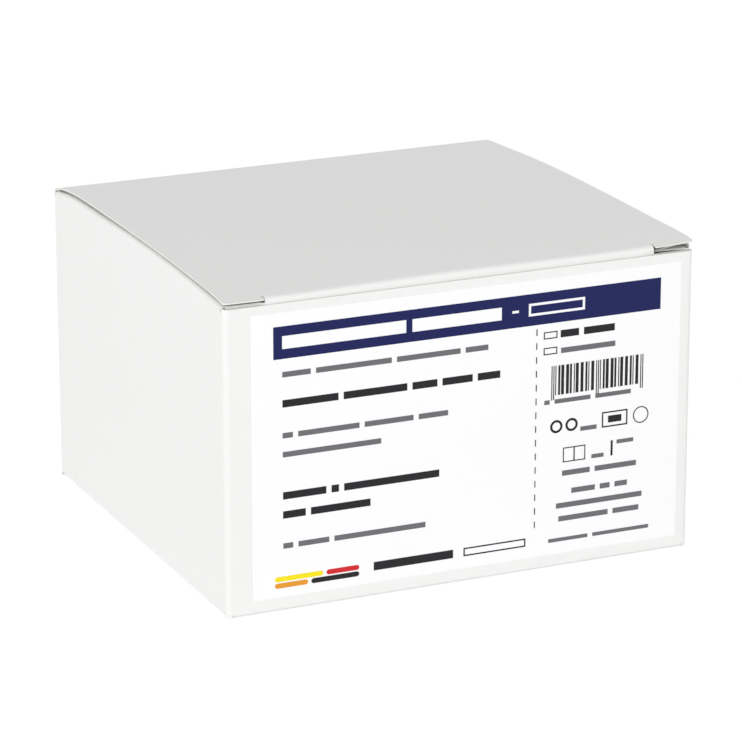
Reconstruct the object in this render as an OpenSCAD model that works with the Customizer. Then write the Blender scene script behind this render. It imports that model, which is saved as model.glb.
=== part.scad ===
// Folding carton of white board with a bowed tuck lid and a printed label on its front.
// The origin is under the middle of the base. The label faces -Y and the lid hinges at +Y.

/* [Carton] */
// Outside width, along the label
carton_width = 155; // [146:1:220]
// Outside depth, from the label to the lid's hinge
carton_depth = 146; // [100:1:200]
// Height of the lid's front and back folds above the base
carton_height = 97; // [94:1:160]
// Thickness of the board
board = 0.5; // [0.3:0.05:0.8]
// Outside radius of the four upright folds
corner_radius = 1.8; // [1.2:0.1:3]
// Outside radius of the folds round the top
top_fold = 1.5; // [1.2:0.1:2]
// Outside radius of the folds round the base
base_fold = 1.0; // [0.9:0.1:1.6]
// Room left beside an upright fold by the flaps that start next to it
fold_relief = 0.3; // [0.2:0.1:1]
// Depth by which a scored fold lies below the panels beside it, outside
score_depth = 0.03; // [0.02:0.01:0.08]
// Height of the bead that the score raises inside a fold
score_bead = 0.08; // [0.02:0.01:0.15]

/* [Lid] */
// Height by which the lid bows up at its middle
lid_bow = 3.0; // [0.5:0.1:6]
// Distance from the lid's raw side edge to the carton's outside
lid_side_gap = 0.3; // [0.1:0.05:0.8]
// Distance from the lid's raw front edge to the carton's front face
lid_front_gap = 0.1; // [0:0.05:0.3]
// Length of the tuck flap below its fold
tuck_length = 17; // [12:1:30]
// Radius of the tuck flap's lower corners
tuck_corner = 9; // [3:1:11]
// Distance from the tuck flap's side edge to the carton's outside
tuck_side_gap = 1.5; // [1.5:0.25:8]
// Clearance between the tuck flap and the front wall, kept all the way as the lid swings
tuck_clearance = 0.2; // [0.15:0.05:0.5]
// Lean of the tuck flap past what its swing needs, in degrees
tuck_lean_extra = 0.7; // [0.5:0.1:3]
// Length of the slit at each end of the tuck fold
slit_length = 12.7; // [6:0.1:25]
// Height of the slit between the lid's raw edge and the tuck flap's shoulder
slit_gap = 0.5; // [0.3:0.05:0.9]
// Fall of the shoulder's raw edge towards the fold
shoulder_fall = 1.0; // [0:0.1:1.2]
// Width of the small cut where a slit meets the tuck fold
slit_end_width = 0.5; // [0.3:0.1:1]
// Depth of that cut into the lid panel, behind the fold
slit_end_depth = 1.1; // [0.5:0.1:3]
// Fall of the front wall's raw top edge below the lid's fold
front_edge_drop = 1.1; // [1:0.1:4]
// Fall of the two back corners' tops below the lid's fold
back_corner_drop = 0.8; // [0.75:0.05:3]
// Width of the score between the back wall and the lid, at their fold
hinge_score = 0.1; // [0.05:0.01:0.2]

/* [Dust flaps] */
// Length of each dust flap, from the side wall inwards
dust_length = 50; // [20:1:60]
// Share of the lid's bow that the dust flaps and their folds take
dust_bow_share = 0.87; // [0.4:0.01:0.9]
// Slope of the dust flaps below level, in degrees
dust_slope = 2; // [1:0.5:5]
// Distance from a dust flap to the carton's front and back faces, at its fold
dust_end_gap = 2.6; // [2.4:0.1:6]
// Taper of a dust flap's ends, in degrees
dust_taper = 9; // [0:1:20]
// Radius of a dust flap's free corners
dust_corner = 8; // [2:1:9]
// Gap between a dust flap's fold and the lid panel's ends
dust_lid_gap = 0.3; // [0.2:0.05:1]

/* [Base] */
// Width of the seam between the two large base flaps
base_seam = 0.6; // [0.3:0.1:2]
// Distance by which a large base flap narrows towards the seam, at its free end
base_taper = 11; // [2:1:20]
// Reach of each locking tongue past the seam
tongue_reach = 16; // [8:1:30]
// Width of each locking tongue
tongue_width = 24; // [12:1:28]
// Length of each side base flap, from the side wall inwards
side_base_length = 40; // [20:1:42]
// Distance by which a side base flap narrows at each end
side_base_taper = 16; // [4:1:30]

/* [Glued seam] */
// Width of the flap that is glued inside the back wall
glue_flap_width = 14; // [8:1:25]
// Distance by which the glue flap narrows at each end
glue_flap_taper = 4; // [1:1:8]
// Distance from the back wall's raw edge to the carton's left side
glue_edge_gap = 1.2; // [0.8:0.1:3]

/* [Label] */
// Margin from the carton's left side to the label
label_left = 8.5; // [4:0.1:10]
// Margin from the label to the carton's right side
label_right = 4.3; // [4:0.1:10]
// Margin from the base to the label
label_below = 4.3; // [2:0.1:6]
// Margin from the label to the lid's front fold
label_above = 4.0; // [3.5:0.1:8]
// Tilt at which the label was stuck on, clockwise, in degrees
label_tilt = 0.1; // [0:0.1:1]
// Thickness of the label
label_thickness = 0.12; // [0.08:0.01:0.3]
// Thickness of the ink
ink = 0.04; // [0.02:0.01:0.1]

/* [Print] */
// Margin from the label's side edges to the title band
band_margin = 7.0; // [3:0.1:10]
// Margin from the label's top edge to the title band
band_above = 4.2; // [2:0.1:8]
// Height of the title band
band_height = 10; // [7:0.1:10]
// Height of the title's bars
title_height = 4.0; // [3:0.1:6]
// Margin from the label's left edge to the text
text_margin = 9.8; // [7:0.1:12]
// Distance from the label's right edge to the dashed line
divider_margin = 49.2; // [46:0.1:50]
// Length of a dash
dash_length = 2.1; // [1:0.1:3]
// Distance from one dash to the next
dash_pitch = 4.4; // [3.5:0.1:8]
// Width of the dashes and of the thinnest outlines
fine_line = 0.35; // [0.2:0.05:0.5]
// Height of a bar that stands for a plain line of text
text_height = 1.7; // [1:0.1:2.6]
// Height of a bar that stands for a bold line of text
bold_height = 2.3; // [1.5:0.1:3.2]
// Gap between two words
word_gap = 1.7; // [1:0.1:2.5]
// Width of the bar pattern
bars_width = 31.4; // [20:0.1:33]
// Height of the bar pattern's short bars
bars_height = 9.4; // [5:0.1:9.8]
// Extra length of the bar pattern's end and middle bars
bars_guard = 1.5; // [0.5:0.1:1.9]
// Width of the narrowest bar
bar_unit = 0.33; // [0.25:0.01:0.5]
// Length of the two rows of colour accents
accent_length = 27.5; // [18:0.5:30]
// Height of one accent
accent_height = 1.6; // [1:0.1:1.8]
// Height of the bars in the foot line
foot_height = 2.7; // [1.5:0.1:3.2]
// Length of the foot line's solid bar
foot_bar_length = 26.4; // [15:0.1:27]
// Length of the foot line's outlined bar
foot_frame_length = 21; // [10:0.5:22]

/* [Hidden] */
$fn = 64;

board_white = [0.95, 0.95, 0.94];
label_white = [0.99, 0.99, 0.99];
navy = [0.13, 0.15, 0.35];
dark_grey = [0.2, 0.2, 0.21];
mid_grey = [0.4, 0.4, 0.42];
yellow = [0.98, 0.88, 0.05];
orange = [0.86, 0.58, 0.15];
red = [0.8, 0.1, 0.14];

// Overlap of each panel with the folds beside it
lap = 0.05;
half_width = carton_width / 2;
half_depth = carton_depth / 2;
corner_inset_x = half_width - corner_radius;
corner_inset_y = half_depth - corner_radius;
front_edge_z = carton_height - front_edge_drop;

back_corner_z = carton_height - back_corner_drop;

// Side walls end in the dust flaps' folds, which bow up under the lid from end to end
dust_fold_z = carton_height - board - dust_lid_gap - top_fold;
dust_half = half_depth - dust_end_gap;
dust_bow = lid_bow * dust_bow_share;
dust_arc = (dust_half * dust_half + dust_bow * dust_bow) / (2 * dust_bow);
dust_arc_angle = asin(dust_half / dust_arc);
dust_arc_z = dust_fold_z + dust_bow - dust_arc;

// The folds at the lid's front and back, and the arc that joins them
hinge_fold_y = half_depth - top_fold;
tuck_fold_y = -half_depth + board + tuck_clearance + top_fold;
lid_fold_z = carton_height - top_fold;
// Height of the back wall beside its fold, and of the glue flap
back_edge_z = lid_fold_z - board;
arc_half = (hinge_fold_y - tuck_fold_y) / 2;
arc_to_folds = (arc_half * arc_half + lid_bow * lid_bow) / (2 * lid_bow);
arc_radius = arc_to_folds + top_fold;
arc_angle = asin(arc_half / arc_to_folds);
arc_y = (hinge_fold_y + tuck_fold_y) / 2;
arc_z = lid_fold_z + lid_bow - arc_to_folds;
arc_faces = 1800;
lid_half_width = half_width - lid_side_gap;
lid_front_angle = acos((-half_depth + lid_front_gap - arc_y) / arc_radius) - 90;
lid_lap_angle = asin(lap / arc_radius);

// The tuck flap leans in far enough for its tip to clear the front wall as the lid swings up
tuck_swing = carton_depth - board - tuck_clearance;
tuck_lean = atan(tuck_length / (2 * tuck_swing)) + tuck_lean_extra;
tuck_half_width = min(half_width - tuck_side_gap, corner_inset_x + 0.3);
tuck_fold_half = lid_half_width - slit_length - slit_end_width;
shoulder_top = top_fold - board - slit_gap - 0.1;

// Half of the back fold turns with the lid and half stays with the back wall
score_angle = asin(hinge_score / (2 * top_fold));
hinge_half_width = corner_inset_x - 0.3;

label_width = carton_width - label_left - label_right;
label_height = carton_height - label_below - label_above;
label_x = (label_left - label_right) / 2;
label_z = label_below + label_height / 2;
divider_x = label_width - divider_margin;
band_width = label_width - 2 * band_margin;
band_bottom = label_height - band_above - band_height;
// Height of the lowest line of print above the label's lower edge
foot_y = 3.9;

// Fold: a strip of board bent round an upright axis, from one angle to another
module bend(radius, from, to, height) {
  rotate(from)
    rotate_extrude(angle = to - from)
      translate([radius - board - score_bead, 0])
        square([board + score_bead - score_depth, height]);
}

// The same fold with its axis along X, angles going from +Y towards +Z
module bend_along_x(radius, from, to, length) {
  translate([-length / 2, 0, 0]) rotate([90, 0, 90]) bend(radius, from, to, length);
}

// The same fold with its axis along Y, angles going from +X towards +Z
module bend_along_y(radius, from, to, length) {
  translate([0, length / 2, 0]) rotate([90, 0, 0]) bend(radius, from, to, length);
}

// Outline of a flap hinged along the Y axis and reaching to +X, with round free corners
module flap_outline(length, half, taper, corner) {
  free_half = half - taper;
  fold_half = half - lap;
  polygon([[-lap, -fold_half], [length - corner, -free_half],
           [length - corner, free_half], [-lap, fold_half]]);
  translate([length - corner, -free_half + corner]) square([corner, 2 * (free_half - corner)]);
  for (side = [-1, 1]) translate([length - corner, side * (free_half - corner)]) circle(corner);
}

module upright_folds() {
  for (side = [-1, 1])
    translate([side * corner_inset_x, -corner_inset_y, 0])
      bend(corner_radius, side < 0 ? 180 : 270, side < 0 ? 270 : 360, front_edge_z);
  translate([corner_inset_x, corner_inset_y, 0]) bend(corner_radius, 0, 90, back_corner_z);
  // The glue flap turns in behind the back wall, so its fold lies one board further in
  translate([-corner_inset_x, corner_inset_y - board, 0])
    bend(corner_radius, 90, 180, back_corner_z);
}

module front_wall() {
  translate([-corner_inset_x - lap, -half_depth, base_fold - lap])
    cube([2 * (corner_inset_x + lap), board, front_edge_z - base_fold + lap]);
}

// The back wall runs past the glue flap's fold to a raw edge near the carton's left side
module back_wall() {
  back_left = -half_width + glue_edge_gap;
  translate([back_left, half_depth - board, base_fold - lap])
    cube([corner_inset_x + lap - back_left, board, back_edge_z - base_fold + lap]);
  translate([-hinge_half_width, half_depth - board, back_edge_z - lap])
    cube([2 * hinge_half_width, board, lid_fold_z - back_edge_z + 2 * lap]);
  translate([0, hinge_fold_y, lid_fold_z])
    bend_along_x(top_fold, 0, 45 - score_angle, 2 * hinge_half_width);
}

module glue_flap() {
  foot = board + base_fold;
  head = back_edge_z;
  translate([-corner_inset_x, half_depth - board, 0])
    rotate([90, 0, 0])
      linear_extrude(board)
        polygon([[-lap, foot], [glue_flap_width, foot + glue_flap_taper],
                 [glue_flap_width, head - glue_flap_taper], [-lap, head]]);
}

// Sweeps a profile, drawn as height above the fold's axis against X, along the dust flaps' arc
module along_dust_arc() {
  translate([0, 0, dust_arc_z])
    rotate([90, 0, 90])
      rotate(90 - dust_arc_angle)
        rotate_extrude(angle = 2 * dust_arc_angle, $fn = arc_faces)
          translate([dust_arc, 0]) children();
}

// Profile of a dust flap's fold, from the side wall up to the flap
module dust_fold_profile() {
  reach = 2 * top_fold;
  intersection() {
    difference() {
      circle(top_fold - score_depth);
      circle(top_fold - board - score_bead);
    }
    polygon([[0, 0], [0, -reach], [reach, -reach], [reach * cos(dust_slope), reach * sin(dust_slope)]]);
  }
}

module left_dust_flap() {
  fold_x = -half_width + top_fold;
  along_dust_arc() translate([0, fold_x]) dust_fold_profile();
  intersection() {
    along_dust_arc()
      translate([0, fold_x])
        rotate(dust_slope)
          translate([top_fold - board, -lap])
            square([board, dust_length + 2 * lap]);
    translate([fold_x, 0, dust_fold_z - dust_length])
      linear_extrude(2 * dust_length)
        flap_outline(dust_length, dust_half, dust_length * tan(dust_taper), dust_corner);
  }
}

// Side wall on the left, with its dust flap at the top and its base flap at the bottom
module left_side(back_end) {
  wall_x = -half_width;
  foot = board + base_fold;
  intersection() {
    translate([wall_x, -corner_inset_y - lap, foot - lap])
      cube([board, corner_inset_y + back_end + 2 * lap, carton_height - foot]);
    translate([wall_x - board, 0, dust_arc_z])
      rotate([0, 90, 0])
        cylinder(h = 3 * board, r = dust_arc + lap, $fn = arc_faces);
  }
  left_dust_flap();
  side_half = corner_inset_y - board - fold_relief;
  translate([wall_x + base_fold, 0, foot]) {
    bend_along_y(base_fold, 180, 270, 2 * side_half);
    translate([0, 0, -base_fold])
      linear_extrude(board)
        flap_outline(side_base_length, side_half, side_base_taper, board);
  }
}

// Large base flap on the front wall, with the tongue that locks over the other one
module front_base_flap() {
  flap_half = corner_inset_x - fold_relief;
  flap_start = -half_depth + base_fold;
  seam_y = -base_seam / 2;
  translate([0, flap_start, base_fold]) bend_along_x(base_fold, 180, 270, 2 * flap_half);
  linear_extrude(board)
    polygon([[-flap_half + lap, flap_start - lap], [flap_half - lap, flap_start - lap],
             [flap_half - base_taper, seam_y], [-flap_half + base_taper / 3, seam_y]]);
  translate([0, 0, board])
    linear_extrude(board)
      polygon([[-tongue_width, -base_taper], [-tongue_width + board, tongue_reach - base_taper / 3],
               [-tongue_width + base_taper / 2, tongue_reach], [-base_taper / 2, tongue_reach],
               [-base_seam, -base_seam], [-base_seam, -base_taper]]);
}

module carton() {
  color(board_white) union() {
    upright_folds();
    front_wall();
    back_wall();
    glue_flap();
    left_side(corner_inset_y - board);
    mirror([1, 0, 0]) left_side(corner_inset_y);
    front_base_flap();
    rotate(180) front_base_flap();
  }
}

// Room in the lid panel's front edge for the tuck fold, with a small cut at the end of each slit
module tuck_fold_room() {
  fold_start_y = tuck_fold_y - top_fold * sin(arc_angle) - lap;
  room_start_y = tuck_fold_y - 3 * top_fold;
  translate([-tuck_fold_half - lap, room_start_y, lid_fold_z])
    cube([2 * (tuck_fold_half + lap), fold_start_y - room_start_y, 2 * top_fold]);
  for (side = [-1, 1])
    translate([side * (tuck_fold_half + slit_end_width / 2) - slit_end_width / 2, room_start_y, lid_fold_z])
      cube([slit_end_width, tuck_fold_y + slit_end_depth - room_start_y, 2 * top_fold]);
}

// Lid panel, bowed up from fold to fold, with raw front edges beside the tuck fold
module lid_panel() {
  difference() {
    translate([0, arc_y, arc_z])
      rotate([90, 0, 90])
        translate([0, 0, -lid_half_width])
          rotate(90 - arc_angle - lid_lap_angle)
            rotate_extrude(angle = arc_angle + lid_front_angle + lid_lap_angle, $fn = arc_faces)
              translate([arc_radius - board, 0]) square([board, 2 * lid_half_width]);
    tuck_fold_room();
  }
}

// Tuck flap drawn in its own plane, from the fold line down, with a shoulder beside each slit
module tuck_outline() {
  inner_half = tuck_half_width - tuck_corner;
  translate([-inner_half, -tuck_length]) square([2 * inner_half, tuck_length + lap]);
  translate([-tuck_half_width, -tuck_length + tuck_corner])
    square([2 * tuck_half_width, tuck_length - tuck_corner + lap]);
  for (side = [-1, 1]) {
    translate([side * inner_half, -tuck_length + tuck_corner]) circle(tuck_corner);
    polygon([[side * tuck_half_width, -1], [side * tuck_half_width, shoulder_top],
             [side * (tuck_fold_half + slit_end_width), shoulder_top - shoulder_fall],
             [side * (tuck_fold_half + slit_end_width), -1]]);
  }
}

module tuck_flap() {
  translate([0, tuck_fold_y, lid_fold_z]) {
    bend_along_x(top_fold, 90 + arc_angle, 180 + tuck_lean, 2 * (tuck_fold_half - lap));
    rotate([tuck_lean, 0, 0])
      translate([0, board - top_fold, 0])
        rotate([90, 0, 0]) linear_extrude(board) tuck_outline();
  }
}

module lid() {
  color(board_white) {
    lid_panel();
    tuck_flap();
    translate([0, hinge_fold_y, lid_fold_z])
      bend_along_x(top_fold, 45 + score_angle, 90 - arc_angle, 2 * hinge_half_width);
  }
}

// Puts an outline, drawn from the label's lower left corner, on the front wall
module on_front(lift, thickness) {
  translate([label_x, -half_depth - lift, label_z])
    rotate([90, 0, 0])
      rotate(-label_tilt)
        translate([-label_width / 2, -label_height / 2, 0])
          linear_extrude(thickness) children();
}

module label() {
  color(label_white) on_front(0, label_thickness) square([label_width, label_height]);
}

module print(tint) {
  color(tint) on_front(label_thickness, ink) children();
}

module frame_outline(size, line) {
  difference() {
    square(size);
    translate([line, line]) square([size[0] - 2 * line, size[1] - 2 * line]);
  }
}

module ring(radius, line) {
  difference() {
    circle(radius);
    circle(radius - line);
  }
}

// Total length of the first words of a line, with the gaps after them
function words_before(words, count) =
  count == 0 ? 0 : words[count - 1] + word_gap + words_before(words, count - 1);

// Line of text shown as one bar for each word
module text_bars(words, height) {
  for (i = [0 : len(words) - 1]) translate([words_before(words, i), 0]) square([words[i], height]);
}

// Line of text placed from the label's top edge
module line_at(x, below_top, words, height) {
  translate([x, label_height - below_top]) text_bars(words, height);
}

module title_bars() {
  translate([text_margin, (band_height - title_height) / 2]) {
    square([40, title_height]);
    translate([42, 0]) square([29.5, title_height]);
    translate([75, (title_height - 0.8) / 2]) square([2.2, 0.8]);
    translate([80.5, 0]) frame_outline([19, title_height], 0.8);
  }
}

module print_navy() {
  print(navy)
    difference() {
      translate([band_margin, band_bottom]) square([band_width, band_height]);
      translate([0, band_bottom]) title_bars();
    }
}

module left_bold_text() {
  line_at(text_margin, 29.2, [18, 20.7, 8.2, 10, 7.5], bold_height);
  line_at(text_margin, 57.9, [14, 2.4, 31.3], bold_height);
  line_at(text_margin, 63.9, [7.3, 19.4], bold_height);
}

module left_plain_text() {
  line_at(text_margin, 19.9, [9.1, 24.5, 20.9, 7.5], text_height);
  line_at(text_margin, 38.8, [3.3, 19.8, 16, 9.7], text_height);
  line_at(text_margin, 44.7, [31.9], text_height);
  line_at(text_margin, 73.4, [3.2, 10, 30], text_height);
}

// Widths in units of the narrowest bar, from a made-up irregular rule
function bar_units(i) = 1 + floor(2.9 * abs(sin(137 * i + 20)));
function gap_units(i) = 1 + floor(1.6 * abs(sin(101 * i + 65)));
function bar_start(i) =
  i == 0 ? 0 : bar_start(i - 1) + bar_unit * (bar_units(i - 1) + gap_units(i - 1));

module bar_pattern() {
  guard_pair = [0, 2 * bar_unit];
  middle = bars_width / 2;
  field = (bars_width - 11 * bar_unit) / 2;
  for (x = [0, middle - 1.5 * bar_unit, bars_width - 3 * bar_unit], step = guard_pair)
    translate([x + step, -bars_guard]) square([bar_unit, bars_height + bars_guard]);
  for (first = [4 * bar_unit, middle + 2.5 * bar_unit], i = [0 : 26])
    let (run = bar_start(i), width = bar_units(i) * bar_unit)
      if (run + width < field - 2 * bar_unit)
        translate([first + run, 0]) square([width, bars_height]);
}

module divider() {
  dash_count = floor((band_bottom - dash_pitch) / dash_pitch);
  for (i = [0 : dash_count - 1])
    translate([divider_x, band_bottom - 1.3 - dash_length - i * dash_pitch])
      square([fine_line, dash_length]);
}

// Code lines, bar pattern and plain marks to the right of the dashed line
module right_column() {
  for (below = [19.1, 24.1])
    translate([divider_x + 2.5, label_height - below]) frame_outline([4.6, 2.3], fine_line);
  line_at(divider_x + 8.2, 19.1, [6.2, 10.5], bold_height);
  translate([divider_x + 5.3, label_height - 37.3]) bar_pattern();
  translate([divider_x, label_height - 49.9]) {
    for (x = [7.2, 12.4]) translate([x, 2.5]) ring(2.1, 0.75);
    translate([22.8, 0]) frame_outline([8.8, 5], 0.45);
    translate([24.9, 1.4]) square([4.6, 2.2]);
    translate([36.2, 2.5]) ring(2.7, fine_line);
  }
  translate([divider_x, label_height - 59.3]) {
    for (x = [9.6, 13.3]) translate([x, 0]) frame_outline([3.8 + fine_line / 2, 4.8], fine_line);
    translate([26, 0]) square([0.7, 4.9]);
  }
}

module right_plain_text() {
  line_at(divider_x + 8.4, 24.1, [18.5], text_height);
  line_at(divider_x + 3, 40, [1.8, 12.2, 12.2], 1.4);
  line_at(divider_x + 15.4, 49.9, [5.6], 1.4);
  line_at(divider_x + 19.4, 59.3, [4.2], 1.3);
  line_at(divider_x + 28, 55.7, [5.8], 1.3);
  line_at(divider_x + 9.4, 63.6, [9.5, 14.3], text_height);
  line_at(divider_x + 12.7, 69.6, [8.1, 3.4, 4.3], text_height);
  line_at(divider_x + 7.5, 74, [29.6], text_height);
  line_at(divider_x + 8.4, 78.3, [17, 9], text_height);
  line_at(divider_x + 5, label_height - foot_y, [13.5, 19.5], 1.2);
}

// Solid and outlined bars on the label's lowest line
module foot_line() {
  foot_bar_x = text_margin + accent_length + 2;
  translate([foot_bar_x, foot_y]) square([foot_bar_length, foot_height]);
  translate([foot_bar_x + foot_bar_length + 3.5, foot_y])
    frame_outline([foot_frame_length, foot_height], 0.45);
}

// Pill shape in the two rows of colour accents near the label's lower left corner
module accent(from, to, row) {
  radius = accent_height / 2;
  left = band_margin + from * accent_length + radius;
  right = band_margin + to * accent_length - radius;
  translate([0, foot_y - 1 + row * (accent_height + 0.45) + radius]) {
    translate([left, -radius]) square([right - left, accent_height]);
    for (end = [left, right]) translate([end, 0]) circle(radius);
  }
}

module print_dark() {
  print(dark_grey) {
    left_bold_text();
    divider();
    right_column();
    foot_line();
    accent(0.43, 1, 0);
  }
}

module print_grey() {
  print(mid_grey) {
    left_plain_text();
    right_plain_text();
  }
}

module print_yellow() {
  print(yellow) accent(0, 0.57, 1);
}

module print_orange() {
  print(orange) accent(0, 0.39, 0);
}

module print_red() {
  print(red) accent(0.61, 1, 1);
}

carton();
lid();
label();
print_navy();
print_dark();
print_grey();
print_yellow();
print_orange();
print_red();
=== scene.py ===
"""Looks of the white folding carton: board, label and inks, the used lid, and a white studio."""

import math

import bpy
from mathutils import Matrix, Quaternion, Vector


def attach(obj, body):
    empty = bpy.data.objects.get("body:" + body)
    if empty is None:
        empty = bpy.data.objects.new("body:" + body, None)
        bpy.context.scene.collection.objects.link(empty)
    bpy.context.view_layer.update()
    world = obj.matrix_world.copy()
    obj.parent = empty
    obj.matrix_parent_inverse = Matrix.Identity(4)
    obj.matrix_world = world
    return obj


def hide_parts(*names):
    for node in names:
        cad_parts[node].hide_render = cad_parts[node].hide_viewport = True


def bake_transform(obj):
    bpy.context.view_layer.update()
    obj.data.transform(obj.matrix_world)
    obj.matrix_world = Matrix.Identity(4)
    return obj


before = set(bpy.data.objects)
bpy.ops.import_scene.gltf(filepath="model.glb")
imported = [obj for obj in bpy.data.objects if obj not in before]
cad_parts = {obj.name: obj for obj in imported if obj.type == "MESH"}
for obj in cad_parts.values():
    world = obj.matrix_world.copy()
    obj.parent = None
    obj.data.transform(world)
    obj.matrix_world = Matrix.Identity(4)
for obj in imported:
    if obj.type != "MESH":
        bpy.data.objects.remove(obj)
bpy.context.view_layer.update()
MM = 0.001

# Sizes in mm that the looks share with the solids
HALF_WIDTH = 77.5
HALF_DEPTH = 73.0
HEIGHT = 97.0
BOARD = 0.5
TOP_FOLD = 1.5
HINGE_HALF = 75.4

# The lid's bow, from the fold behind it to the tuck fold
HINGE_Y = HALF_DEPTH - TOP_FOLD
TUCK_Y = -70.8
FOLD_Z = HEIGHT - TOP_FOLD
LID_BOW = 3.0
ARC_HALF = (HINGE_Y - TUCK_Y) / 2
ARC_TO_FOLDS = (ARC_HALF**2 + LID_BOW**2) / (2 * LID_BOW)
LID_ARC_RADIUS = ARC_TO_FOLDS + TOP_FOLD
LID_ARC_ANGLE = math.degrees(math.asin(ARC_HALF / ARC_TO_FOLDS))
LID_ARC_Y = (HINGE_Y + TUCK_Y) / 2
LID_ARC_Z = FOLD_Z + LID_BOW - ARC_TO_FOLDS


class Tree:
    """A material's or world's node tree, with short ways to add a node."""

    def __init__(self, owner):
        owner.use_nodes = True
        self.tree = owner.node_tree
        self.tree.nodes.clear()

    def fill(self, socket, value):
        """Links a socket to the value, or sets it where the value is a constant."""
        if isinstance(value, bpy.types.NodeSocket):
            self.tree.links.new(value, socket)
        else:
            socket.default_value = value

    def node(self, kind, inputs=None, **settings):
        made = self.tree.nodes.new(kind)
        for name, value in settings.items():
            setattr(made, name, value)
        for name, value in (inputs or {}).items():
            self.fill(made.inputs[name], value)
        return made

    def math(self, operation, a, b=0.0, c=0.0):
        return self.node("ShaderNodeMath", {0: a, 1: b, 2: c}, operation=operation).outputs[0]

    def both(self, *masks):
        made = masks[0]
        for mask in masks[1:]:
            made = self.math("MULTIPLY", made, mask)
        return made

    def mix(self, factor, a, b):
        made = self.node("ShaderNodeMix", data_type="RGBA")
        for socket, value in ((0, factor), (6, a), (7, b)):
            self.fill(made.inputs[socket], value)
        return made.outputs[2]

    def bump(self, layers):
        """Bump from noise layers of (scale per metre, detail, depth in mm)."""
        place = self.node("ShaderNodeTexCoord").outputs["Object"]
        normal = None
        for scale, detail, depth in layers:
            noise = self.node(
                "ShaderNodeTexNoise", {"Vector": place, "Scale": scale, "Detail": detail}
            )
            inputs = {"Height": noise.outputs[0], "Strength": 1.0, "Distance": depth * MM}
            if normal is not None:
                inputs["Normal"] = normal
            normal = self.node("ShaderNodeBump", inputs).outputs[0]
        return normal

    def principled(self, colour, roughness, specular, bumps):
        shader = self.node(
            "ShaderNodeBsdfPrincipled",
            {
                "Base Color": colour,
                "Roughness": roughness,
                "Specular IOR Level": specular,
                "Normal": self.bump(bumps),
            },
        )
        self.node("ShaderNodeOutputMaterial", {"Surface": shader.outputs[0]})


def rgb(red, green, blue):
    """Colour from display values of 0 to 255."""

    def linear(value):
        part = value / 255
        return part / 12.92 if part <= 0.04045 else ((part + 0.055) / 1.055) ** 2.4

    return (linear(red), linear(green), linear(blue), 1.0)


COATED = rgb(236, 236, 235)
INNER = rgb(222, 220, 215)
RAW = rgb(229, 228, 225)
COATED_ROUGHNESS = 0.5
UNCOATED_EXTRA_ROUGHNESS = 0.3
BOARD_SPECULAR = 0.35
# A slight waviness, and the grain
BOARD_BUMPS = [(16, 1, 0.35), (2600, 3, 0.012)]
LABEL_BUMPS = [(16, 1, 0.2), (3000, 2, 0.004)]


def board_material(name, raw_edges=None):
    """White board, coated outside. raw_edges gives the mask of its cut edges."""
    material = bpy.data.materials.new(name)
    t = Tree(material)
    coords = t.node("ShaderNodeTexCoord")
    from_middle = t.node(
        "ShaderNodeVectorMath",
        {0: coords.outputs["Object"], 1: (0, 0, HEIGHT / 2 * MM)},
        operation="SUBTRACT",
    )
    outward = t.node(
        "ShaderNodeVectorMath",
        {0: from_middle.outputs[0], 1: coords.outputs["Normal"]},
        operation="DOT_PRODUCT",
    )
    uncoated = t.math("LESS_THAN", outward.outputs["Value"], 0.0)
    colour = t.mix(uncoated, COATED, INNER)
    if raw_edges:
        place = t.node("ShaderNodeSeparateXYZ", {0: coords.outputs["Object"]}).outputs
        facing = t.node("ShaderNodeSeparateXYZ", {0: coords.outputs["Normal"]}).outputs
        raw = raw_edges(t, place, facing)
        colour = t.mix(raw, colour, RAW)
        uncoated = t.math("MAXIMUM", uncoated, raw)
    roughness = t.math("MULTIPLY_ADD", uncoated, UNCOATED_EXTRA_ROUGHNESS, COATED_ROUGHNESS)
    t.principled(colour, roughness, BOARD_SPECULAR, BOARD_BUMPS)
    return material


def paper_material(name, colour, roughness, specular):
    material = bpy.data.materials.new(name)
    Tree(material).principled(colour, roughness, specular, LABEL_BUMPS)
    return material


# Where raw edges lie, in mm, and the parts of a normal that tell which way a face looks
WALL_TOPS_FROM_Z = 94.9
WALL_TOPS_FROM_Y = 71.1
DUST_EDGES_FROM_Z = 93.6
DUST_EDGES_TO_X = 75.8
DUST_EDGES_TO_Y = 70.6
LID_EDGES_FROM_X = 64.2
LID_EDGES_TO_Y = -72.6
FACES_UP = 0.9
FACES_SIDEWAYS = 0.8
STANDS_UPRIGHT = 0.3


def carton_edges(t, place, facing):
    """Top edges of the walls and edges of the dust flaps."""
    away_x = t.math("ABSOLUTE", place[0])
    away_y = t.math("ABSOLUTE", place[1])
    wall_tops = t.both(
        t.math("GREATER_THAN", facing[2], FACES_UP),
        t.math("GREATER_THAN", place[2], WALL_TOPS_FROM_Z * MM),
        t.math("GREATER_THAN", away_y, WALL_TOPS_FROM_Y * MM),
    )
    flap_edges = t.both(
        t.math("LESS_THAN", t.math("ABSOLUTE", facing[2]), STANDS_UPRIGHT),
        t.math("GREATER_THAN", place[2], DUST_EDGES_FROM_Z * MM),
        t.math("LESS_THAN", away_y, DUST_EDGES_TO_Y * MM),
        t.math("LESS_THAN", away_x, DUST_EDGES_TO_X * MM),
    )
    return t.math("MAXIMUM", wall_tops, flap_edges)


def lid_edges(t, place, facing):
    """Side edges of the lid and of its tuck flap, and the front edges beside the slits."""
    sides = t.math("GREATER_THAN", t.math("ABSOLUTE", facing[0]), FACES_SIDEWAYS)
    fronts = t.both(
        t.math("LESS_THAN", place[1], LID_EDGES_TO_Y * MM),
        t.math("GREATER_THAN", t.math("ABSOLUTE", place[0]), LID_EDGES_FROM_X * MM),
    )
    return t.math("MAXIMUM", sides, fronts)


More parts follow.
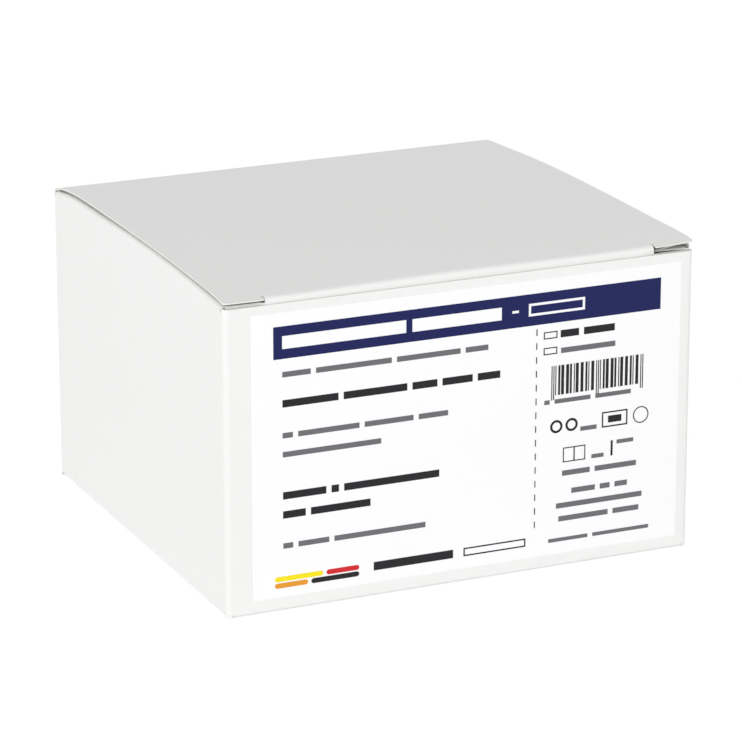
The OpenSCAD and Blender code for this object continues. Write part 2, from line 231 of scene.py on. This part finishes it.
materials = {
    "carton": board_material("board_coated_carton", carton_edges),
    "lid": board_material("board_coated_lid", lid_edges),
    "label": paper_material("label_paper", rgb(246, 246, 247), 0.38, 0.4),
    "print_navy": paper_material("ink_navy", rgb(22, 29, 84), 0.5, 0.2),
    "print_dark": paper_material("ink_dark", rgb(34, 34, 37), 0.5, 0.2),
    "print_grey": paper_material("ink_grey", rgb(108, 108, 112), 0.5, 0.2),
    "print_yellow": paper_material("ink_yellow", rgb(243, 222, 20), 0.45, 0.3),
    "print_orange": paper_material("ink_orange", rgb(226, 150, 40), 0.45, 0.3),
    "print_red": paper_material("ink_red", rgb(205, 32, 40), 0.45, 0.3),
}
for name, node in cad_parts.items():
    if not node.material_slots:
        node.data.materials.append(materials[name])
    for entry in node.material_slots:
        entry.material = materials[name]


def steps(start, end, count):
    return [start + (end - start) * i / count for i in range(count + 1)]


def turn(centre_y, centre_z, radius, degrees):
    """Point of a fold and the way its outer side faces, at an angle from +Y towards +Z."""
    way_y = math.cos(math.radians(degrees))
    way_z = math.sin(math.radians(degrees))
    return centre_y + radius * way_y, centre_z + radius * way_z, way_y, way_z


def linked(name, mesh):
    made = bpy.data.objects.new(name, mesh)
    bpy.context.scene.collection.objects.link(made)
    return made


# Strips along both faces of the fold behind the lid: the angle in degrees and the width in mm
# that they stop short of its ends
FOLD_END_ANGLE = 0.6
FOLD_END_GAP = 0.05
FOLD_COUNT = 24
fold_board = board_material("board_coated_fold")


def fold_skin(name, inner_radius, outer_radius):
    """A strip along the whole fold behind the lid, as the fold lies with the lid shut."""
    half = HINGE_HALF - FOLD_END_GAP
    points = []
    last = 90 - LID_ARC_ANGLE - FOLD_END_ANGLE
    for angle in steps(FOLD_END_ANGLE, last, FOLD_COUNT):
        for radius in (inner_radius, outer_radius):
            y, z = turn(HINGE_Y, FOLD_Z, radius, angle)[:2]
            points += [(x * MM, y * MM, z * MM) for x in (-half, half)]
    faces = []
    for a in range(0, 4 * FOLD_COUNT, 4):
        b = a + 4
        faces.append((a, a + 1, b + 1, b))
        faces.append((a + 2, b + 2, b + 3, a + 3))
        faces.append((a, b, b + 2, a + 2))
        faces.append((a + 1, a + 3, b + 3, b + 1))
    end = 4 * FOLD_COUNT
    faces.append((0, 2, 3, 1))
    faces.append((end, end + 1, end + 3, end + 2))
    mesh = bpy.data.meshes.new(name)
    mesh.from_pydata(points, [], faces)
    mesh.update()
    for polygon in mesh.polygons:
        polygon.use_smooth = abs(polygon.normal.x) < 0.5
    mesh.materials.append(fold_board)
    strip = linked(name, mesh)
    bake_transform(strip)


fold_skin("fold_outside", TOP_FOLD - 0.02, TOP_FOLD + 0.004)
fold_skin("fold_inside", TOP_FOLD - BOARD - 0.11, TOP_FOLD - BOARD - 0.084)

# The lid's sheet in mm: its half width, its raw front edges and where they are rounded off
LID_HALF = 77.45
LID_FRONT = -72.9
LID_CORNER = 1.2
LID_CORNER_START = 74.0
# The slits between the tuck fold and those edges, and how far back each is cut
TUCK_HALF = 64.0
SLIT_START = 64.5
SLIT_CUT_Y = -69.7
# Angle at which the lid's half of the fold behind it starts
HINGE_START_ANGLE = 46.9
# Where the panel ends at its folds, apart from its sides
PANEL_BACK = HINGE_Y + 0.12
PANEL_FRONT = TUCK_Y - 0.13
PANEL_SIDE = [SLIT_START, 66.5, 68.5, 70.5, 72.5, LID_CORNER_START, HINGE_HALF, 76.3, LID_HALF]

# The tuck flap: lean, length, half width and round corners
TUCK_LEAN = 4.05
TUCK_LENGTH = 17.0
FLAP_HALF = 76.0
FLAP_CORNER = 9.0
FLAP_SIDE = [SLIT_START, 65.5, 67, 69, 71, 72.5, 74, 75.2, FLAP_HALF]
FLAP_COUNT = 20
# Its shoulders beside the fold: height of each, and how far they lean in, over which width and fall
LEFT_SHOULDER = -0.05
RIGHT_SHOULDER = -1.3
SHOULDER_BEND = 1.25
SHOULDER_START = 1.5
SHOULDER_ROOT = 6.0

# How far the used lid stands off its bow, as (place from front to back, height), at each side
LEFT_LIFT = [(-73, 1.15), (-65, 1.3), (-53, 1.05), (-33, 0.75), (-13, 0.6), (0, 0.6),
             (21, 0.85), (35, 1.3), (49, 1.7), (59, 1.62), (66, 1.1), (71.5, 0.15)]
RIGHT_LIFT = [(-73, 2.2), (-65, 2.0), (-59, 1.6), (-52, 1.15), (-46, 0.8), (-39, 0.45),
              (-25, 0), (-12, -0.3), (0, -0.4), (35, -0.4), (60, -0.25), (71.5, 0)]
# The same at the middle of the front fold, which bulges up, and how far past the sides it fades
FRONT_LIFT = [(-73, 1.4), (-60, 1.3), (-5, 0.0)]
FRONT_FADE = 3


def along(points, place):
    """Smooth curve through the points, level at both of its ends."""
    place = min(max(place, points[0][0]), points[-1][0])
    slopes = [0.0] * len(points)
    for i in range(1, len(points) - 1):
        run = points[i + 1][0] - points[i - 1][0]
        slopes[i] = (points[i + 1][1] - points[i - 1][1]) / run
    for i in range(len(points) - 1):
        (a, low), (b, high) = points[i], points[i + 1]
        if place <= b:
            t = (place - a) / (b - a)
            ease = t * t * (3 - 2 * t)
            bend = slopes[i] * t * (1 - t) ** 2 - slopes[i + 1] * t * t * (1 - t)
            return low + (high - low) * ease + bend * (b - a)


def lift(x, y):
    """Height of the used lid off its bow. The left side's reaches further in than the right's."""
    from_right = (LID_HALF - x) / (2 * LID_HALF)
    sides = along(LEFT_LIFT, y) * from_right**3 + along(RIGHT_LIFT, y) * (1 - from_right) ** 4
    return sides + along(FRONT_LIFT, y) * math.cos(math.pi / 2 * x / (LID_HALF + FRONT_FADE)) ** 2


class Sheet:
    """One sheet of board from cells that share the points they meet at."""

    def __init__(self, thickness):
        self.thickness = thickness
        self.places, self.outer, self.inner, self.cells = {}, [], [], []

    def point(self, place, way):
        """Number of the point at a place, in mm, where the outer side faces that way."""
        key = tuple(round(part, 3) for part in place)
        if key not in self.places:
            self.places[key] = len(self.outer)
            outer = Vector(place) * MM
            self.outer.append(outer)
            self.inner.append(outer - Vector(way) * self.thickness * MM)
        return self.places[key]

    def grid(self, place, columns, rows, left_out=None, flip=False):
        """Cells between neighbouring rows and columns. place gives the point where two cross."""
        for back, front in zip(rows, rows[1:]):
            for a, b in zip(columns, columns[1:]):
                if left_out and left_out(a, b, back, front):
                    continue
                cell = (place(a, back), place(a, front), place(b, front), place(b, back))
                self.cells.append(cell[::-1] if flip else cell)

    def build(self, name, material, body):
        count = len(self.outer)
        faces, rims = [], {}
        for cell in self.cells:
            faces.append(cell)
            faces.append(tuple(count + i for i in reversed(cell)))
            for a, b in zip(cell, cell[1:] + cell[:1]):
                if (b, a) in rims:
                    del rims[(b, a)]
                else:
                    rims[(a, b)] = True
        for a, b in rims:
            faces.append((b, a, count + a, count + b))
        mesh = bpy.data.meshes.new(name)
        mesh.from_pydata(self.outer + self.inner, [], faces)
        mesh.update()
        mesh.shade_smooth()
        mesh.set_sharp_from_angle(angle=math.radians(40))
        sheet = linked(name, mesh)
        sheet.data.materials.append(material)
        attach(sheet, body)
        return sheet


def mirrored(middle, side):
    return [-x for x in reversed(side)] + middle + side


def panel_rows():
    """Outer side of the lid from its half of the fold behind it, with the lift's share there."""
    fold_count = 8
    rows = []
    for i, angle in enumerate(steps(HINGE_START_ANGLE, 90 - LID_ARC_ANGLE, fold_count)):
        rows.append((*turn(HINGE_Y, FOLD_Z, TOP_FOLD, angle), i / fold_count))

    def arc_angle(y):
        return math.degrees(math.acos((y - LID_ARC_Y) / LID_ARC_RADIUS))

    fold = 90 + LID_ARC_ANGLE
    for angle in steps(90 - LID_ARC_ANGLE, arc_angle(SLIT_CUT_Y), 72)[1:]:
        rows.append((*turn(LID_ARC_Y, LID_ARC_Z, LID_ARC_RADIUS, angle), 1))
    rows.append((*turn(TUCK_Y, FOLD_Z, TOP_FOLD, fold), 1))
    for angle in steps(fold, arc_angle(LID_FRONT), 8)[1:]:
        rows.append((*turn(LID_ARC_Y, LID_ARC_Z, LID_ARC_RADIUS, angle), 1))
    return rows


def round_in(x, start, end, radius, over):
    """Draws x in at a sheet's round corner, more the nearer it is to the sheet's side."""
    over = min(max(over, 0.0), radius)
    narrow = radius - math.sqrt(radius**2 - over**2)
    return x - math.copysign(narrow * max(abs(x) - start, 0.0) / (end - start), x)


def add_panel(sheet, middle):
    def place(x, row):
        y, z, way_y, way_z, share = row
        over = LID_FRONT + LID_CORNER - y
        across = round_in(x, LID_CORNER_START, LID_HALF, LID_CORNER, over)
        return sheet.point((across, y, z + share * lift(x, y)), (0, way_y, way_z))

    def left_out(x0, x1, back, front):
        x = abs(x0 + x1) / 2
        y = (back[0] + front[0]) / 2
        beside_hinge = y > PANEL_BACK and x > HINGE_HALF
        in_slit = y < SLIT_CUT_Y and TUCK_HALF < x < SLIT_START
        past_tuck_fold = y < PANEL_FRONT and x < SLIT_START
        return beside_hinge or in_slit or past_tuck_fold

    sheet.grid(place, mirrored(middle, PANEL_SIDE), panel_rows(), left_out)


def add_tuck_fold(sheet, middle):
    angles = steps(90 + LID_ARC_ANGLE, 180 + TUCK_LEAN, 12)
    rows = [turn(TUCK_Y, FOLD_Z, TOP_FOLD, angle) for angle in angles]
    fold_y = rows[0][0]

    def place(x, row):
        y, z, way_y, way_z = row
        return sheet.point((x, y, z + lift(x, fold_y)), (0, way_y, way_z))

    sheet.grid(place, middle, rows)


def add_tuck_flap(sheet, middle):
    """Flap below the fold. Its shoulders beside the slits lean in."""
    fold_y = turn(TUCK_Y, FOLD_Z, TOP_FOLD, 90 + LID_ARC_ANGLE)[0]
    start_y, start_z, way_y, way_z = turn(TUCK_Y, FOLD_Z, TOP_FOLD, 180 + TUCK_LEAN)

    def place(x, row):
        raised = lift(min(max(x, -TUCK_HALF), TUCK_HALF), fold_y)
        top = 0.0
        if abs(x) >= SLIT_START:
            top = RIGHT_SHOULDER if x > 0 else LEFT_SHOULDER
        share = math.cos(math.pi / 2 * row / FLAP_COUNT)
        fall = top * share - TUCK_LENGTH * (1 - share)
        over = FLAP_CORNER - TUCK_LENGTH - fall
        across = round_in(x, TUCK_HALF, FLAP_HALF, FLAP_CORNER, over)
        out = min(max(abs(x) - TUCK_HALF, 0.0) / SHOULDER_START, 1.0)
        bend = SHOULDER_BEND * out * max(1 + fall / SHOULDER_ROOT, 0.0)
        y = start_y + fall * way_z + bend
        z = start_z - fall * way_y
        return sheet.point((across, y, z + raised), (0, way_y, way_z))

    sheet.grid(place, mirrored(middle, FLAP_SIDE), range(FLAP_COUNT + 1))


def add_lid():
    sheet = Sheet(BOARD)
    middle = steps(-TUCK_HALF, TUCK_HALF, 32)
    add_panel(sheet, middle)
    add_tuck_fold(sheet, middle)
    add_tuck_flap(sheet, middle)
    lid = sheet.build("lid_sheet", materials["lid"], "lid")
    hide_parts("lid")


add_lid()

# The folds between the side walls and the dust flaps, which bow up under the lid
DUST_HALF = 70.4
DUST_BOW = 2.61
DUST_FOLD_Z = 94.7
DUST_ARC = (DUST_HALF**2 + DUST_BOW**2) / (2 * DUST_BOW)
DUST_ARC_ANGLE = math.asin(DUST_HALF / DUST_ARC)
DUST_TURN = 92
DUST_TAPER = math.tan(math.radians(9))
# The skin on each: height off the fold, thickness, and how far it reaches down the wall and inwards
SKIN_LIFT = 0.005
SKIN_BOARD = 0.45
SKIN_DROP = 4.0
SKIN_REACH = 12.0

# How far the skins rise off the folds, as (place from front to back, height): the left one below
# the lid's back corner, and the right one at the front corner, where it holds the lid up
LEFT_RISE = [(-70.4, 0), (25, 0), (40, 0.3), (53, 0.75), (62, 0.75), (70.4, 0.35)]
RIGHT_RISE = [(-70.4, 1.9), (-64, 1.7), (-52, 1.0), (-39, 0.35), (-25, 0), (70.4, 0)]


def skin_profile():
    """Rows of (across, height, the way they face: out and up, distance along the dust flap)."""
    radius = TOP_FOLD + SKIN_LIFT
    rows = [(-radius, -SKIN_DROP, -1, 0, 0)]
    for angle in steps(0, DUST_TURN, 16):
        out = -math.cos(math.radians(angle))
        up = math.sin(math.radians(angle))
        rows.append((radius * out, radius * up, out, up, 0))
    across, height, out, up, _ = rows[-1]
    for flat in steps(0, SKIN_REACH, 8)[1:]:
        rows.append((across + flat * up, height - flat * out, out, up, flat))
    return rows


def add_side_skin(name, side, rise):
    """The fold's outer board, from the side wall over the fold to where the dust flap is flat."""
    sheet = Sheet(SKIN_BOARD)

    def place(share, row):
        across, height, out, up, flat = row
        turned = DUST_ARC_ANGLE * share * (1 - flat * DUST_TAPER / DUST_HALF)
        reach = DUST_ARC + height
        x = -HALF_WIDTH + TOP_FOLD + across
        y = reach * math.sin(turned)
        z = DUST_FOLD_Z + DUST_BOW - DUST_ARC + reach * math.cos(turned)
        z += along(rise, y) * math.cos(math.pi / 2 * flat / SKIN_REACH) ** 2
        way = (-side * out, up * math.sin(turned), up * math.cos(turned))
        return sheet.point((-side * x, y, z), way)

    sheet.grid(place, steps(-1, 1, 48), skin_profile(), flip=side > 0)
    sheet.build(name, materials["carton"], "carton")


add_side_skin("left_fold_skin", -1, LEFT_RISE)
add_side_skin("right_fold_skin", 1, RIGHT_RISE)

WHITE = (1, 1, 1, 1)

FLOOR_HALF = 8.0
FLOOR_Z = -0.0002
FLOOR_PAINT = (0.86, 0.86, 0.86, 1)
# The floor's own white for the rays that show it, and its share beside the lit paint
FLOOR_GLOW = 1.3
FLOOR_GLOW_SHARE = 0.6

# Light of the studio's white tent at the horizon, and how much weaker it is overhead
TENT_SIDES = 1.66
TENT_FALL = 1.47

# A square softbox at the front left
KEY_PLACE = (-1.87, -2.13, 1.1)
KEY_AIM = (0, 0, 0.05)
KEY_SIZE = 1.6
KEY_WATTS = 28

# The photograph's camera, in metres, with its lens and sensor in mm and its roll in degrees
CAMERA_PLACE = (-0.48445, -1.08524, 0.42604)
CAMERA_AIM = (0.001527, -0.001432, 0.046366)
CAMERA_ROLL = -0.056
CAMERA_LENS = 190.66
CAMERA_SENSOR = 36


def seen(t):
    """1 for the rays that show the backdrop, 0 for those that only carry its light."""
    path = t.node("ShaderNodeLightPath").outputs
    direct = t.math("MAXIMUM", path["Is Camera Ray"], path["Is Glossy Ray"])
    return t.math("MAXIMUM", direct, path["Is Transmission Ray"])


def look_along(place, aim):
    return (Vector(aim) - Vector(place)).to_track_quat("-Z", "Y")


def add_floor():
    material = bpy.data.materials.new("floor_white")
    t = Tree(material)
    paint = t.node("ShaderNodeBsdfDiffuse", {"Color": FLOOR_PAINT})
    white = t.node("ShaderNodeEmission", {"Color": WHITE, "Strength": FLOOR_GLOW})
    share = t.math("MULTIPLY", seen(t), FLOOR_GLOW_SHARE)
    surface = t.node("ShaderNodeMixShader", {0: share, 1: paint.outputs[0], 2: white.outputs[0]})
    t.node("ShaderNodeOutputMaterial", {"Surface": surface.outputs[0]})
    mesh = bpy.data.meshes.new("floor")
    corners = [(-1, -1), (1, -1), (1, 1), (-1, 1)]
    places = [(x * FLOOR_HALF, y * FLOOR_HALF, FLOOR_Z) for x, y in corners]
    mesh.from_pydata(places, [], [(0, 1, 2, 3)])
    mesh.materials.append(material)
    linked("floor", mesh)


def add_world():
    world = bpy.data.worlds.new("studio")
    bpy.context.scene.world = world
    t = Tree(world)
    way = t.node("ShaderNodeTexCoord").outputs["Generated"]
    height = t.node("ShaderNodeSeparateXYZ", {0: way}).outputs[2]
    height = t.math("MAXIMUM", height, 0.0)
    light = t.math("SUBTRACT", TENT_SIDES, t.math("MULTIPLY", height, TENT_FALL))
    shown = seen(t)
    strength = t.math("ADD", shown, t.math("MULTIPLY", light, t.math("SUBTRACT", 1.0, shown)))
    sky = t.node("ShaderNodeBackground", {"Color": WHITE, "Strength": strength})
    t.node("ShaderNodeOutputWorld", {"Surface": sky.outputs[0]})


def add_key():
    data = bpy.data.lights.new("key", "AREA")
    data.shape = "SQUARE"
    data.size = KEY_SIZE
    data.energy = KEY_WATTS
    lamp = linked("key", data)
    lamp.location = KEY_PLACE
    lamp.rotation_euler = look_along(KEY_PLACE, KEY_AIM).to_euler()


def add_camera():
    data = bpy.data.cameras.new("camera")
    data.lens = CAMERA_LENS
    data.sensor_width = CAMERA_SENSOR
    camera = linked("camera", data)
    camera.location = CAMERA_PLACE
    roll = Quaternion((0, 0, 1), math.radians(CAMERA_ROLL))
    camera.rotation_euler = (look_along(CAMERA_PLACE, CAMERA_AIM) @ roll).to_euler()
    bpy.context.scene.camera = camera


add_floor()
add_world()
add_key()
add_camera()
bpy.context.scene.view_settings.view_transform = "Standard"
